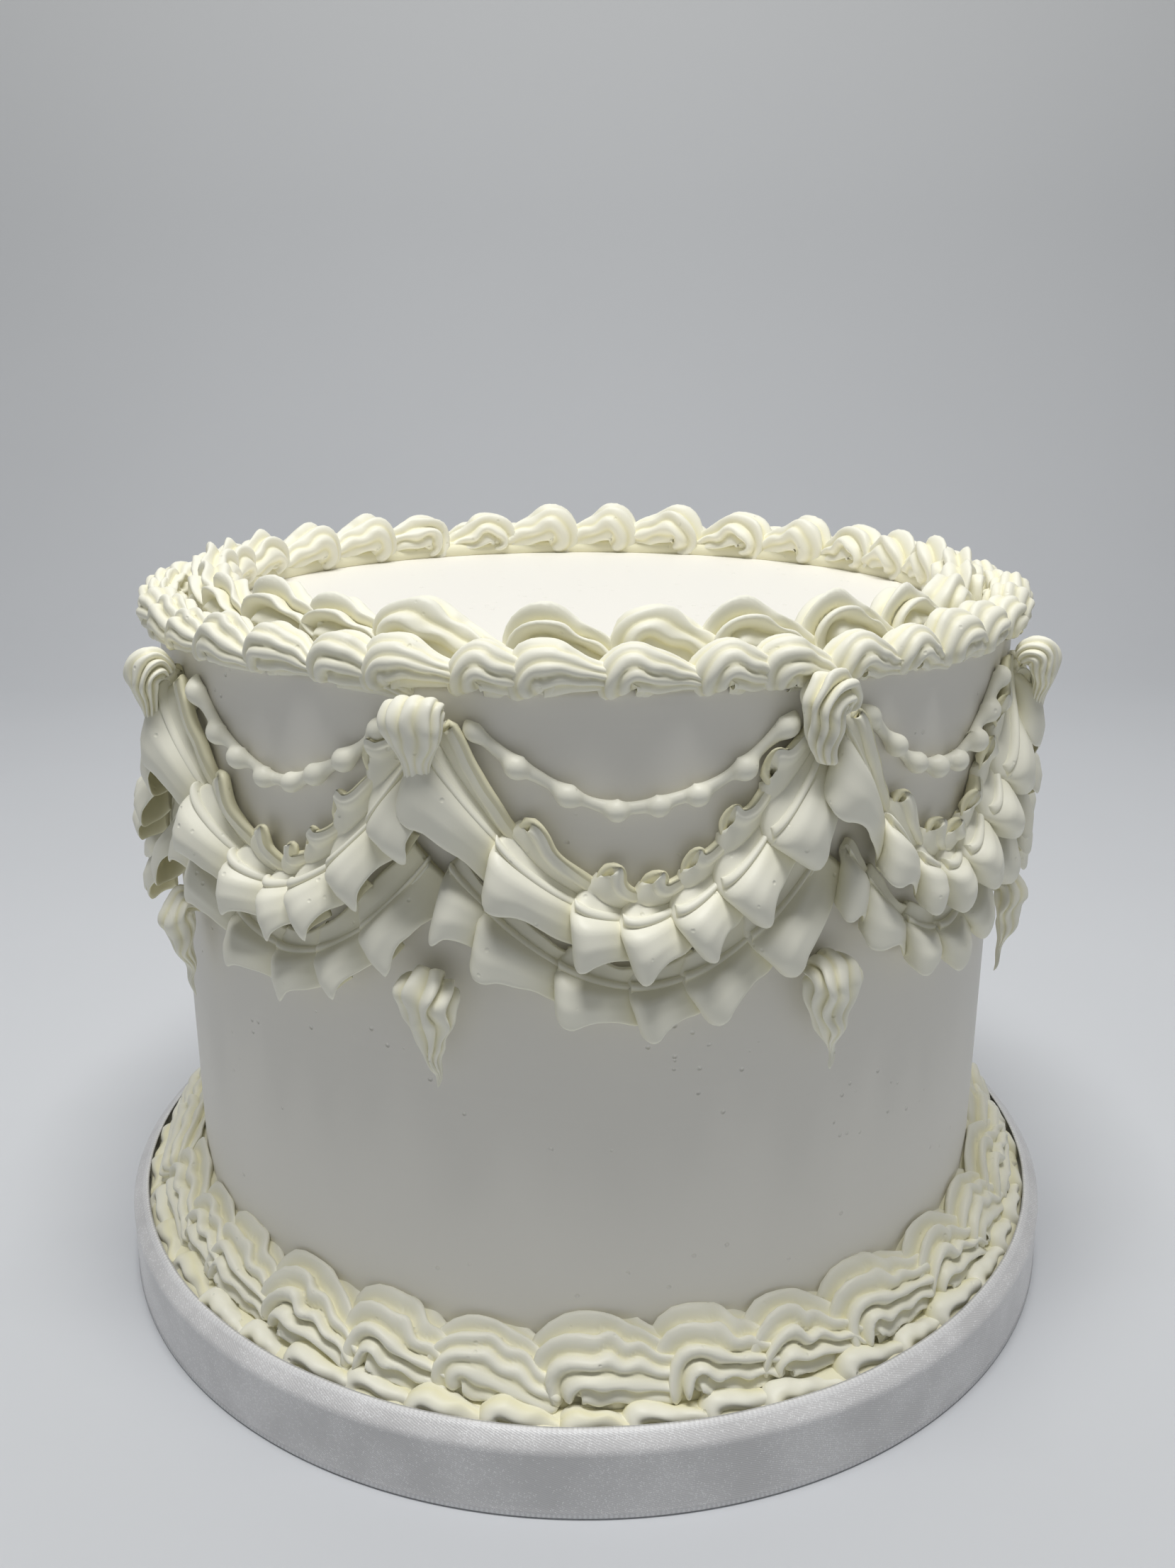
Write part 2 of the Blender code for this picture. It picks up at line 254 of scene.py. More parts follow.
def white_satin():
    """Polyester satin: a fine slanting weave, with painted sheen that comes and goes along it,
    painted glints on its threads, and small loops of thread along both edges."""
    material, tree, shader = new_material("white_satin")
    cloth = tree.add("ShaderNodeUVMap", uv_map="weave").outputs[0]
    slant = tree.add(
        "ShaderNodeMapping", {"Vector": cloth, "Rotation": (0.0, 0.0, math.radians(24))}
    ).outputs[0]
    threads = tree.add(
        "ShaderNodeTexWave",
        {
            "Vector": slant,
            "Scale": WAVE_AT_ONE / SATIN_THREAD,
            "Distortion": 3.0,
            "Detail": 3.0,
            "Detail Scale": 1.5,
        },
        bands_direction="Y",
    ).outputs["Fac"]
    # Painted glints: some of the weave's cells get a bright dot, more of them in the painted
    # sheen's patches
    cells = tree.add("ShaderNodeTexVoronoi", {"Vector": slant, "Scale": 1.0 / SATIN_GLINT})
    chance = tree.add("ShaderNodeSeparateColor", {0: cells.outputs["Color"]}).outputs[0]
    patches = tree.add(
        "ShaderNodeTexNoise",
        {"Vector": cloth, "Scale": 1.0 / SATIN_SHEEN_PATCH, "Detail": 3.0},
    )
    lively = tree.ramp(patches.outputs["Fac"], 0.36, 0.6, 0.94, 0.42)
    glint = tree.add("ShaderNodeMath", {0: chance, 1: lively}, operation="GREATER_THAN").outputs[0]
    spot = tree.ramp(cells.outputs["Distance"], 0.15, 0.55, 0.9, 0.0)
    shine = tree.add("ShaderNodeMath", {0: glint, 1: spot}, operation="MULTIPLY").outputs[0]
    weave = tree.blend(threads, linear("CDCCCC"), linear("D7D6D6"))
    # Painted sheen: broad patches along the ribbon are painted paler
    painted_sheen = tree.ramp(patches.outputs["Fac"], 0.38, 0.6, 0.0, 0.4)
    colour = tree.blend(painted_sheen, weave, linear("ECEBEB"))
    with_painted_glints = tree.blend(shine, colour, linear("FBFBFB"))
    across = tree.add("ShaderNodeSeparateXYZ", {0: cloth}).outputs[1]
    low_edge = tree.ramp(across, 0.4, 0.8, 1.0, 0.0)
    high_edge = tree.ramp(across, SELVEDGE - 0.6, SELVEDGE - 0.3, 0.0, 0.5)
    edge = tree.add("ShaderNodeMath", {0: low_edge, 1: high_edge}, operation="MAXIMUM").outputs[0]
    picots = tree.add(
        "ShaderNodeTexWave",
        {"Vector": cloth, "Scale": WAVE_AT_ONE / PICOT},
        bands_direction="X",
    ).outputs["Fac"]
    dotted = tree.ramp(picots, 0.2, 0.8, 0.35, 1.0)
    loops = tree.add("ShaderNodeMath", {0: edge, 1: dotted}, operation="MULTIPLY").outputs[0]
    finished = tree.blend(loops, with_painted_glints, linear("F6F6F6"))
    tree.tree.links.new(finished, shader.inputs["Base Color"])
    rough = tree.ramp(threads, 0.0, 1.0, 0.32, 0.44)
    tree.tree.links.new(rough, shader.inputs["Roughness"])
    shader.inputs["Sheen Weight"].default_value = 0.3
    shader.inputs["Sheen Roughness"].default_value = 0.4
    woven = tree.add(
        "ShaderNodeBump", {"Strength": 0.25, "Distance": 0.08 * MM, "Height": threads}
    )
    tree.tree.links.new(woven.outputs[0], shader.inputs["Normal"])
    return material


def board_foil():
    """Silver foil paper: metal, dulled by a fine embossed lattice."""
    material, tree, shader = new_material("board_foil")
    spots = tree.add("ShaderNodeTexCoord").outputs["Object"]
    lattice = tree.add(
        "ShaderNodeTexVoronoi",
        {"Vector": spots, "Scale": per_metre(FOIL_LATTICE), "Randomness": 0.25},
    )
    wrinkles = tree.add(
        "ShaderNodeTexNoise",
        {"Vector": spots, "Scale": per_metre(FOIL_WRINKLE), "Detail": 4.0},
    )
    shader.inputs["Base Color"].default_value = linear("CFCFCB")
    shader.inputs["Metallic"].default_value = 1.0
    rough = tree.ramp(wrinkles.outputs["Fac"], 0.3, 0.7, 0.46, 0.58)
    tree.tree.links.new(rough, shader.inputs["Roughness"])
    embossed = tree.add(
        "ShaderNodeBump",
        {"Strength": 0.5, "Distance": 0.2 * MM, "Height": lattice.outputs["Distance"]},
    )
    tree.tree.links.new(embossed.outputs[0], shader.inputs["Normal"])
    return material


def studio_paper():
    """Matt pale backdrop paper, faintly mottled, and paler where it rises behind the cake."""
    material, tree, shader = new_material("studio_paper")
    spots = tree.add("ShaderNodeTexCoord").outputs["Object"]
    mottle = tree.add(
        "ShaderNodeTexNoise",
        {"Vector": spots, "Scale": per_metre(PAPER_MOTTLE), "Detail": 3.0},
    )
    floor = tree.blend(mottle.outputs["Fac"], linear("CFD1D4"), linear("D5D7DA"))
    height = tree.add("ShaderNodeSeparateXYZ", {0: spots}).outputs[2]
    colour = tree.blend(tree.ramp(height, 0.0, 0.5), floor, linear("DDDEDE"))
    tree.tree.links.new(colour, shader.inputs["Base Color"])
    shader.inputs["Roughness"].default_value = 0.85
    return material


# Meshes


def around(radius, degrees, height):
    """Points at those distances from the axis, angles round the cake and heights."""
    turn = np.radians(degrees)
    x, y, z = np.broadcast_arrays(radius * np.sin(turn), -radius * np.cos(turn), height)
    return np.stack([x, y, z], axis=-1)


def ease(values, low, high):
    """0 below low, 1 above high, and smooth between."""
    share = np.clip((np.asarray(values, float) - low) / (high - low), 0.0, 1.0)
    return share * share * (3.0 - 2.0 * share)


def between(start, end, values, low, high):
    """A value that goes smoothly from start, where values are below low, to end, above high."""
    return start + (end - start) * ease(values, low, high)


def rounded_end(inward, least=0.0):
    """How thick a rounded end is, as a share, where inward goes from 0 at its tip to 1 where
    it's full. The tip itself is taken at the least share inward."""
    return np.sqrt(1.0 - (1.0 - np.clip(inward, least, 1.0)) ** 2)


def wander(points, reach, seed):
    """A smooth value from about -1 to 1 at each point, which changes over that many mm."""
    draw = np.random.default_rng(seed)
    total = np.zeros(points.shape[:-1])
    for _ in range(5):
        wave = draw.normal(size=3)
        wave *= math.tau / reach / np.linalg.norm(wave) * draw.uniform(0.6, 1.5)
        total += np.sin(points @ wave + draw.uniform(0.0, math.tau))
    return total / 3.0


def grid_faces(rows, columns, closed, looped=False):
    """The four-sided faces of a grid of points. A closed one joins its last column to its first,
    and a looped one its last row to its first."""
    last = columns if closed else columns - 1
    row, column = np.meshgrid(
        np.arange(rows if looped else rows - 1), np.arange(last), indexing="ij"
    )
    row, column = row.ravel(), column.ravel()
    after, onward = (column + 1) % columns, (row + 1) % rows
    corners = (row * columns + column, row * columns + after)
    beyond = (onward * columns + after, onward * columns + column)
    return np.stack(corners + beyond, axis=-1).tolist()


def mesh_from(name, points, faces, material, grooves=None):
    """A smooth-shaded mesh from points in millimetres, which can carry each point's painted warm
    shade.
    """
    mesh = bpy.data.meshes.new(name)
    mesh.from_pydata((np.asarray(points) * MM).tolist(), [], faces)
    mesh.materials.append(material)
    mesh.shade_smooth()
    # Each point's share of painted warm shade, which the icing's colour reads
    attribute = mesh.attributes.new("groove", "FLOAT", "POINT")
    if grooves is not None:
        attribute.data.foreach_set("value", np.asarray(grooves, np.float32).ravel())
    return mesh


def new_object(name, data):
    """An object that is in the scene."""
    thing = bpy.data.objects.new(name, data)
    bpy.context.scene.collection.objects.link(thing)
    return thing


def piece_from(name, data, node):
    """A finished piece that stands for a CAD node."""
    piece = new_object(name, data)
    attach(piece, "root")
    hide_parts(node)
    return piece


def tube(rings, flip=False):
    """(points, faces) of a tube through rings of points, closed by a point at each end."""
    rows, columns = rings.shape[:2]
    points = np.vstack([rings.reshape(-1, 3), rings[0].mean(axis=0), rings[-1].mean(axis=0)])
    faces = grid_faces(rows, columns, closed=True)
    near, far = rows * columns, rows * columns + 1
    tail = (rows - 1) * columns
    for column in range(columns):
        after = (column + 1) % columns
        faces.append([near, after, column])
        faces.append([far, tail + column, tail + after])
    if flip:
        faces = [face[::-1] for face in faces]
    return points, faces


# Piped shells

# Shares of a shell's length: where it is fullest, and how much of its head and its tail rounds off
FULLEST = 0.3
HEAD_ROUNDING = 0.05
TAIL_ROUNDING = 0.07

# How far in along its rounding a shell's tip is cut off flat, as a share
SHELL_TIP = 0.01005

# How evenly a shell thins towards its tail. At 1 it thins the same at both ends of that stretch.
TRAIL_CURVE = 0.85

# How many ripples bend a shell's grooves along it
GROOVE_RIPPLES = 23.0 / math.tau

# Differently piped copies of each shell
VARIANTS = 4


@dataclass
class Shell:
    """How a nozzle shapes one shell. It swells at its head, curls over and trails off along +X.

    Height and width are half its section's, where it's fullest. It sets off at its start angle
    and turns to its finish angle over its bend, a share of its length. Swell and tail say how
    full its two ends are. Its ridges stand between grooves of that depth, which twist along it.
    A lower notch widens the grooves, outward deepens those on its outer side, and waver bends
    them. Wobble is how far all of it strays. It leans out towards its foot, and lies back by an
    angle, so that its curl faces up. Along and across are its mesh's points each way."""

    height: float
    width: float
    length: float
    start: float = 122.0
    finish: float = -12.0
    bend: float = 0.5
    tail: float = 0.3
    swell: float = 0.3
    ridges: int = 8
    depth: float = 0.26
    twist: float = 14.0
    lean: float = 0.0
    wobble: float = 0.35
    notch: float = 1.1
    outward: float = 0.0
    waver: float = 0.0
    lie: float = 0.0
    along: int = 40
    across: int = 56


def shell_mesh(name, look, seed, material):
    """One piped shell, with its head near the origin, its outer side to -Y and its top to +Z."""
    draw = np.random.default_rng(seed)
    share = np.linspace(0.0, 1.0, look.along)
    start = look.start + draw.uniform(-12.0, 12.0)
    heading = look.finish + (start - look.finish) * (1.0 - ease(share, 0.0, look.bend))
    heading = np.radians(heading)
    step = look.length / (look.along - 1)
    x = np.concatenate([[0.0], np.cumsum(np.cos(heading[:-1]))]) * step
    z = np.concatenate([[0.0], np.cumsum(np.sin(heading[:-1]))]) * step
    filling = np.sin(np.clip(share / FULLEST, 0.0, 1.0) * math.pi / 2)
    full = look.swell + (1.0 - look.swell) * filling
    full *= 1.0 - (1.0 - look.tail) * ease(share, FULLEST, 1.0) ** TRAIL_CURVE
    full *= rounded_end(share / HEAD_ROUNDING, SHELL_TIP)
    full *= rounded_end((1.0 - share) / TAIL_ROUNDING, SHELL_TIP)
    around_it = np.linspace(0.0, math.tau, look.across, endpoint=False)
    twist = math.radians(look.twist) * share * draw.uniform(0.4, 1.6)
    phase = around_it[None, :] + twist[:, None] + draw.uniform(0.0, math.tau / look.ridges)
    crooked = np.sin(share * GROOVE_RIPPLES * math.tau + draw.uniform(0.0, math.tau))[:, None]
    crooked = crooked * np.sin(phase * 2.0 + draw.uniform(0.0, math.tau))
    crest = np.abs(np.cos((phase + look.waver * crooked) * look.ridges / 2.0))
    cut = look.depth * (0.8 + 0.4 * np.sin(phase + draw.uniform(0.0, math.tau)))
    cut = cut * (1.0 + look.outward * np.cos(around_it))
    size = (1.0 - cut * (1.0 - crest) ** look.notch) * full[:, None]
    up = look.height * size * np.sin(around_it)
    out = look.width * size * np.cos(around_it)
    rings = np.stack(
        [
            x[:, None] - up * np.sin(heading)[:, None],
            -out,
            z[:, None] + up * np.cos(heading)[:, None],
        ],
        axis=-1,
    )
    rings[..., 1] += look.lean * (rings[..., 2] - z.max())
    for axis in range(3):
        shift = wander(rings, look.height * 2.2, seed * 7 + axis)
        rings[..., axis] += shift * look.wobble * 0.5
    back = math.radians(look.lie)
    y, z = rings[..., 1].copy(), rings[..., 2].copy()
    rings[..., 1] = y * math.cos(back) + z * math.sin(back)
    rings[..., 2] = z * math.cos(back) - y * math.sin(back)
    points, faces = tube(rings, flip=True)
    # Painted warm shade, deepest between the ridges and fading where the shell thins
    grooves = (1.0 - crest) ** 1.5 * ease(full, 0.1, 0.5)[:, None]
    return mesh_from(name, points, faces, material, np.append(grooves.ravel(), [0.0, 0.0]))


def planting_group():
    """Geometry Nodes that stand one of a collection's shells on every point of a mesh. Each
    point's own values say which shell it gets, how it's turned and how big it is."""
    group = bpy.data.node_groups.new("plant_shells", "GeometryNodeTree")
    sockets = group.interface
    sockets.new_socket("Geometry", in_out="INPUT", socket_type="NodeSocketGeometry")
    sockets.new_socket("Shells", in_out="INPUT", socket_type="NodeSocketCollection")
    sockets.new_socket("Icing", in_out="INPUT", socket_type="NodeSocketMaterial")
    sockets.new_socket("Geometry", in_out="OUTPUT", socket_type="NodeSocketGeometry")
    tree = Tree(group)
    given = tree.add("NodeGroupInput").outputs
    variant = tree.add(
        "GeometryNodeInputNamedAttribute", {"Name": "variant"}, data_type="INT"
    ).outputs[0]
    turn = tree.add(
        "GeometryNodeInputNamedAttribute", {"Name": "turn"}, data_type="FLOAT_VECTOR"
    ).outputs[0]
    size = tree.add(
        "GeometryNodeInputNamedAttribute", {"Name": "size"}, data_type="FLOAT_VECTOR"
    ).outputs[0]
    shells = tree.add(
        "GeometryNodeCollectionInfo",
        {"Collection": given["Shells"], "Separate Children": True, "Reset Children": True},
    ).outputs[0]
    rotation = tree.add("FunctionNodeEulerToRotation", {"Euler": turn}).outputs[0]
    planted = tree.add(
        "GeometryNodeInstanceOnPoints",
        {
            "Points": given["Geometry"],
            "Instance": shells,
            "Pick Instance": True,
            "Instance Index": variant,
            "Rotation": rotation,
            "Scale": size,
        },
    ).outputs[0]
    real = tree.add("GeometryNodeRealizeInstances", {"Geometry": planted}).outputs[0]
    iced = tree.add(
        "GeometryNodeSetMaterial", {"Geometry": real, "Material": given["Icing"]}
    ).outputs[0]
    tree.add("NodeGroupOutput", {"Geometry": iced})
    return group


def run_nodes(thing, group, values):
    """The plain mesh that a Geometry Nodes group makes of an object."""
    modifier = thing.modifiers.new(group.name, "NODES")
    modifier.node_group = group
    for item in group.interface.items_tree:
        if item.in_out == "INPUT" and item.name in values:
            modifier[item.identifier] = values[item.name]
    bpy.context.view_layer.update()
    graph = bpy.context.evaluated_depsgraph_get()
    result = bpy.data.meshes.new_from_object(
        thing.evaluated_get(graph), preserve_all_data_layers=True, depsgraph=graph
    )
    old = thing.data
    bpy.data.objects.remove(thing)
    if isinstance(old, bpy.types.Mesh):
        bpy.data.meshes.remove(old)
    else:
        bpy.data.curves.remove(old)
    return result


def shell_kit(name, look, seed, material):
    """A collection of differently piped copies of one shell, to plant from."""
    kit = bpy.data.collections.new(name)
    for number in range(VARIANTS):
        mesh = shell_mesh(f"{name}_{number}", look, seed + number, material)
        kit.objects.link(bpy.data.objects.new(mesh.name, mesh))
    return kit


def plant(name, kit, spots, material, group):
    mesh = bpy.data.meshes.new(name)
    mesh.from_pydata([(np.array(spot[0]) * MM).tolist() for spot in spots], [], [])
    for label, part in (("turn", 1), ("size", 2)):
        values = np.array([spot[part] for spot in spots], np.float32)
        attribute = mesh.attributes.new(label, "FLOAT_VECTOR", "POINT")
        attribute.data.foreach_set("vector", values.ravel())
    variants = np.array([spot[3] for spot in spots], np.int32)
    mesh.attributes.new("variant", "INT", "POINT").data.foreach_set("value", variants)
    holder = new_object(f"{name}_spots", mesh)
    result = run_nodes(holder, group, {"Shells": kit, "Icing": material})
    result.name = name
    return result


def clear_kit(kit):
    """Removes a kit once its shells are planted."""
    for thing in list(kit.objects):
        bpy.data.objects.remove(thing)
    bpy.data.collections.remove(kit)


def ring_spots(border, seed):
    """Places round the cake for a border's shells, unevenly spaced and sized as by hand."""
    draw = np.random.default_rng(seed)
    spots = []
    pitch = 360.0 / border.count
    for number in range(border.count):
        degrees = border.offset + (number + draw.uniform(-0.125, 0.125)) * pitch
        place = around(border.radius + draw.uniform(-0.25, 0.25), degrees, border.height)
        tilt = math.radians(draw.uniform(-6.0, 6.0))
        turn = Matrix.Rotation(math.radians(degrees), 4, "Z") @ Matrix.Rotation(tilt, 4, "Y")
        size = draw.uniform(0.93, 1.05)
        scale = (size * draw.uniform(0.96, 1.05), size, size * draw.uniform(0.95, 1.04))
        spots.append((place, tuple(turn.to_euler()), scale, int(draw.integers(VARIANTS))))
    return spots


OUTER_ROW = Shell(
    height=4.7, width=4.7, length=17.0, ridges=10, depth=0.32, tail=0.36, bend=0.36, start=106.0,
    finish=-15.0, swell=0.8, wobble=0.8, waver=0.07, along=37,
)
INNER_ROW = Shell(
    height=5.0, width=5.0, length=25.0, ridges=7, depth=0.46, tail=0.56, start=145.0, bend=0.46,
    finish=-20.0, swell=0.6, twist=30.0, wobble=0.8, notch=0.72, outward=0.3, waver=0.14, across=70,
)
BASE_ROW = Shell(
    height=7.9, width=7.0, length=23.0, ridges=13, depth=0.34, tail=0.6, start=112.0, bend=0.3,
    finish=-12.0, swell=0.85, lean=0.3, twist=16.0, wobble=1.3, notch=0.85, waver=0.09, along=34,
    across=88,
)
RIM_ROW = Shell(
    height=2.3, width=3.1, length=20.0, ridges=2, depth=0.05, tail=0.6, start=230.0, bend=0.46,
    finish=-9.0, swell=0.5, twist=30.0, wobble=0.7, lie=30.0, along=44, across=32,
)


@dataclass
class Border:
    """A row of shells round the cake, turned on by its offset in degrees. Its bed is a ring of
    icing under it: how far out from the row, how far up, how wide and how tall it is."""

    node: str
    shell: Shell
    count: int
    offset: float
    radius: float
    height: float
    bed_out: float
    bed_up: float
    bed_wide: float
    bed_tall: float


BORDERS = (
    Border(
        node="top_outer_shells", shell=OUTER_ROW, count=44, offset=4.5,
        radius=WALL - 1.0, height=CAKE_TOP - 1.0,
        bed_out=-1.4, bed_up=2.0, bed_wide=2.6, bed_tall=2.0,
    ),
    Border(
        node="top_inner_shells", shell=INNER_ROW, count=28, offset=7.0,
        radius=WALL - 10.2, height=CAKE_TOP + 0.2,
        bed_out=0.0, bed_up=0.8, bed_wide=2.8, bed_tall=2.4,
    ),
    Border(
        node="base_shells", shell=BASE_ROW, count=31, offset=-1.0,
        radius=WALL + 2.4, height=BOARD_TOP + 3.6,
        bed_out=0.6, bed_up=-1.0, bed_wide=4.6, bed_tall=3.4,
    ),
    Border(
        node="board_rim_curls", shell=RIM_ROW, count=47, offset=0.0,
        radius=WALL + 10.2, height=BOARD_TOP + 0.5,
        bed_out=-0.8, bed_up=0.0, bed_wide=3.2, bed_tall=1.9,
    ),
)

# Points round a bed, and round its section, and the painted warm shade on all of it, where 1 is the
# full shade colour
BED_STEPS = 240
BED_SIDES = 20
BED_PAINTED_SHADE = 0.7


def bed(border, material):
    """The icing under a row of shells, which closes the gaps between them."""
    section = np.linspace(0.0, math.tau, BED_SIDES, endpoint=False)
    degrees = np.linspace(0.0, 360.0, BED_STEPS, endpoint=False)[:, None]
    out = border.radius + border.bed_out + border.bed_wide * np.cos(section)
    up = border.height + border.bed_up + border.bed_tall * np.sin(section)
    rings = around(out, degrees, up)
    faces = grid_faces(BED_STEPS, BED_SIDES, closed=True, looped=True)
    faces = [face[::-1] for face in faces]
    # All of the bed, under and between the shells, gets the same painted warm shade
    grooves = np.full(rings.shape[:2], BED_PAINTED_SHADE)
    return mesh_from("bed", rings.reshape(-1, 3), faces, material, grooves)


def borders(material, group):
    """The two rows on the cake's rim, and the two on the board, each on its bed of icing."""
    for seed, border in enumerate(BORDERS, start=20):
        kit = shell_kit(f"{border.node}_kit", border.shell, seed * 10, material)
        name = f"piped_{border.node}"
        mesh = plant(name, kit, ring_spots(border, seed), material, group)
        clear_kit(kit)
        both = bmesh.new()
        both.from_mesh(mesh)
        both.from_mesh(bed(border, material))
        both.to_mesh(mesh)
        both.free()
        piece_from(name, mesh, border.node)


# Shells that hang on the side

JOIN_SHELL = Shell(
    height=2.8, width=5.4, length=15.5, ridges=11, depth=0.36, tail=0.3, start=150.0,
    finish=-6.0, bend=0.45, swell=0.5, twist=12.0, wobble=0.7, waver=0.05, along=44, across=80,
)
JOIN_HOOK = Shell(
    height=3.6, width=4.4, length=19.0, ridges=8, depth=0.46, tail=0.5, start=185.0, finish=-4.0,
    bend=0.6, swell=0.6, twist=70.0, wobble=1.1, along=48, across=72,
)
HANGING_DROP = Shell(
    height=3.0, width=5.2, length=23.0, ridges=9, depth=0.42, tail=0.07, start=150.0,
    finish=-7.0, bend=0.34, swell=0.5, twist=40.0, wobble=1.3, along=48, across=72,
)

# Where the joins' shells and the drops hang: their height, and how far out from the wall
JOIN_HEIGHT = 133.0
JOIN_OUT = 3.4
DROP_HEIGHT = 88.0
DROP_OUT = 1.2

# Every third join's shell is a hook, turned that far on to its side, in degrees
HOOK_EVERY = 3
HOOK_SPIN = 62.0


def hanging_spot(radius, degrees, height, roll, spin, size, variant):
    """A place on the side for a shell that runs downwards with its crest facing out, or to one
    side by its spin."""
    down_and_out = Matrix(((0, 1, 0), (0, 0, -1), (-1, 0, 0))).to_4x4()
    down_and_out = down_and_out @ Matrix.Rotation(math.radians(spin), 4, "X")
    turn = Matrix.Rotation(math.radians(degrees), 4, "Z")
    lean = Matrix.Rotation(math.radians(roll), 4, "Y")
    euler = (turn @ lean @ down_and_out).to_euler()
    return (around(radius, degrees, height), tuple(euler), (size, size, size), variant)


def hanging_shells(material, group):
    """The fluted shell over every join and the drop below it."""
    draw = np.random.default_rng(5)
    shells = shell_kit("join_shell_kit", JOIN_SHELL, 300, material)
    hooks = shell_kit("join_hook_kit", JOIN_HOOK, 320, material)
    drops = shell_kit("hanging_drop_kit", HANGING_DROP, 340, material)
    families = (
        ("join_shell", shells, WALL + JOIN_OUT, JOIN_HEIGHT),
        ("hanging_drop", drops, WALL + DROP_OUT, DROP_HEIGHT),
    )
    for family, usual, radius, height in families:
        for number, degrees in enumerate(JOINS[:-1], start=1):
            node = f"{family}_{number}"
            size = draw.uniform(0.95, 1.04)
            roll = draw.uniform(-7.0, 7.0)
            kit, spin = usual, 0.0
            if family == "join_shell" and number % HOOK_EVERY == 0:
                kit, spin = hooks, HOOK_SPIN
            spot = hanging_spot(radius, degrees, height, roll, spin, size, number % VARIANTS)
            mesh = plant(f"piped_{node}", kit, [spot], material, group)
            piece_from(f"piped_{node}", mesh, node)
    for kit in (shells, hooks, drops):
        clear_kit(kit)


# Swags

# The power of a swag's curve. At 2 it would be a parabola
SWAG_CURVE = 1.9


def sagging(shares):
    """How far a swag has sunk at shares of its way across, as a share of its whole sag."""
    return 1.0 - np.abs(2.0 * shares - 1.0) ** SWAG_CURVE


# Ruffles

# One fold at even steps, as (along, out, drop, rise). Along and out are shares of its length and
# depth: from its tuck it turns back round a bulge at its left, then falls away to the right,
# under the next bulge. Drop and rise say how far its two edges reach there, from least to most.
FOLD = (
    (0.16, 0.00, 0.36, 0.00), (0.02, 0.12, 0.42, 0.20), (-0.09, 0.36, 0.54, 0.55),
    (-0.12, 0.70, 0.76, 0.86), (-0.06, 0.98, 1.00, 1.00), (0.06, 1.12, 0.80, 0.86),
    (0.21, 1.10, 0.28, 0.55), (0.38, 0.96, 0.04, 0.35), (0.56, 0.76, 0.00, 0.22),
    (0.74, 0.52, 0.12, 0.12), (0.90, 0.26, 0.27, 0.04), (1.05, 0.06, 0.34, 0.00),
)
STEPS_PER_FOLD = 30

# Levels of a sheet's rows, as runs of (first, last, count) from -1 at its frill's free edge to 1
# at its flap's lip. They lie closest together at both edges and at its rope.
LEVEL_RUNS = (
    (-1.0, -0.86, 5), (-0.78, -0.2, 9), (-0.14, 0.14, 5), (0.22, 0.78, 8), (0.84, 1.0, 5),
)

# Levels and columns over which a sheet's edges round off
EDGE_ROUNDING = 0.14
END_ROUNDING = 4.0

# The stretch of a swag over which its right end tucks in, as shares of it
RIGHT_END = (0.91, 1.02)

# What a swag's ends change, as shares of what its middle has: the depth of its folds, its flap's
# height and peaks, and the length that its frill gains
FOLDS_AT_RIGHT = 0.45
FLAP_AT_LEFT = 0.62
FLAP_AT_RIGHT = 0.7
PEAKS_AT_LEFT = 0.35
FRILL_GAIN_LEFT = 0.3
FRILL_GAIN_RIGHT = 0.15

# What a flap gains in height where its swag climbs steeply, as a share
FLAP_GAIN_CLIMBING = 0.5

# Degrees that a sheet leans back for each degree of its swag's slope: a flap where the swag falls,
# a flap where it climbs, and a frill, which leans by its own angle as well
FLAP_LEAN_FALLING = 0.42
FLAP_LEAN_CLIMBING = 0.62
FRILL_LEAN_SLOPING = 0.62
FRILL_LEAN = -18.0

# How far a fold opens out at its flap's lip, as a share of the way to even spacing
OPENING = 0.3
OPENING_SHIFT = 0.06

# How far a sheet strays from its form, and the least that it stands off the wall
STRAY = 0.3
LEAST_OUT = 0.1

# Painted warm shade on a sheet, where 1 is the full shade colour: in a fold's tuck, and on its back
TUCK_PAINTED_SHADE = 0.55
BACK_PAINTED_SHADE = 0.8

# Levels at which a ruffle's form is given, with its rope at 0
STATIONS = (-1.0, -0.55, -0.16, 0.0, 0.3, 0.75, 1.0)
ROPE_STATION = STATIONS.index(0.0)


@dataclass
class Ruffle:
    """A swag's ruffle: a sheet whose ridge, with a rope along it, runs at its height and sags in
    between.

    Folds are where each fold starts and ends, as shares of the swag. Above the ridge stands a
    flap, which reaches further by its peak on a fold, and below it a frill, by its tip. At each
    station the sheet stands off the wall by its hollow, and by its swing more on a bulge, and
    thin is half its thickness. Clear is the room in degrees that it leaves at each join. The
    rope's radius and the flap's lean in degrees follow."""

    folds: tuple
    height: float
    sag: float
    flap: float
    flap_peak: float
    frill: float
    frill_tip: float
    hollow: tuple
    swing: tuple
    thin: tuple
    clear: tuple
    rope: float
    flap_lean: float
    seed: int


